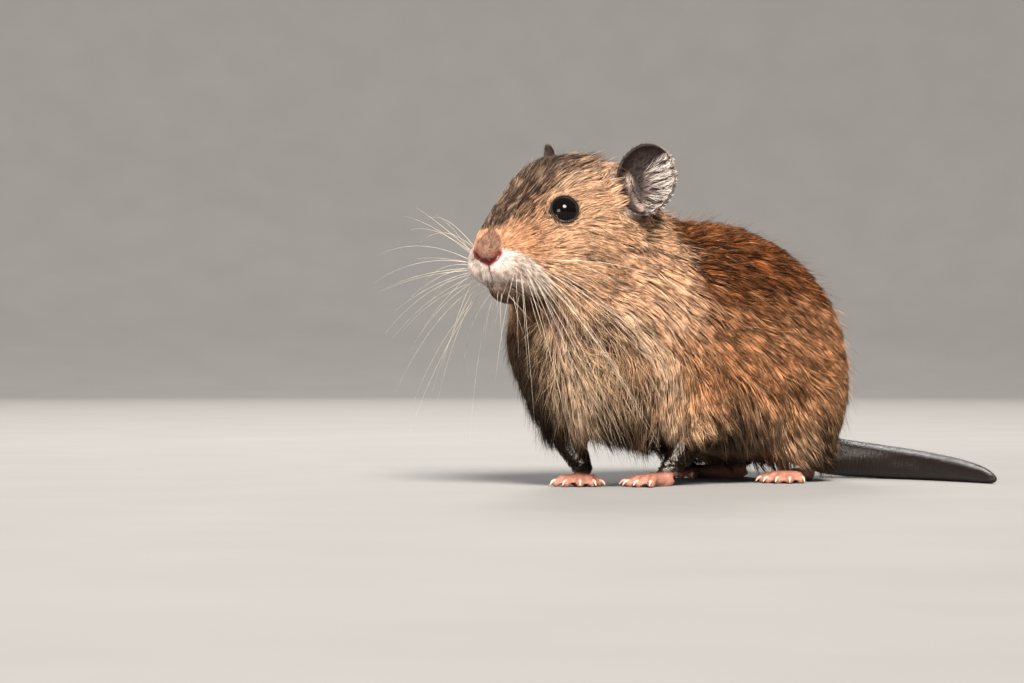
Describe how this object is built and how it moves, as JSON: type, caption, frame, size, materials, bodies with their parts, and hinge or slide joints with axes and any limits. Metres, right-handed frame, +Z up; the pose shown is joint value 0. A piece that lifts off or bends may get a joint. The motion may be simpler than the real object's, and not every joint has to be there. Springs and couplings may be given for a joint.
{
  "type": "field mouse",
  "caption": "Still, life-size model of a field mouse standing alert on all four feet, head turned slightly aside, round ears pricked, tail laid on the floor beside it.",
  "frame": {"origin": "on the floor, under the middle of the whole model's box", "axes": "the body lies along Y with the head towards -Y and the tail's root towards +Y, +X is the mouse's left side, +Z is up"},
  "size_m": [0.06, 0.087, 0.0576],
  "materials": {
    "coat": "short dense fur, golden brown with dark streaks, paler below",
    "ear_skin": "thin dark skin with fine silvery hairs",
    "bare_skin": "soft pink bare skin",
    "tail_skin": "smooth, slightly glossy dark scaly skin",
    "eye": "wet, glossy black"
  },
  "bodies": {
    "root": {"trunk": "coat", "neck": "coat", "head": "coat", "muzzle": "coat", "lower_jaw": "coat", "foreleg_left": "coat", "foreleg_right": "coat", "hindleg_left": "coat", "hindleg_right": "coat", "ear_left": "ear_skin", "ear_right": "ear_skin", "nose": "bare_skin", "forefoot_left": "bare_skin", "forefoot_right": "bare_skin", "hindfoot_left": "bare_skin", "hindfoot_right": "bare_skin", "tail_base": "tail_skin", "tail_middle": "tail_skin", "tail_tip": "tail_skin", "eye_left": "eye", "eye_right": "eye"}
  },
  "joints": []
}
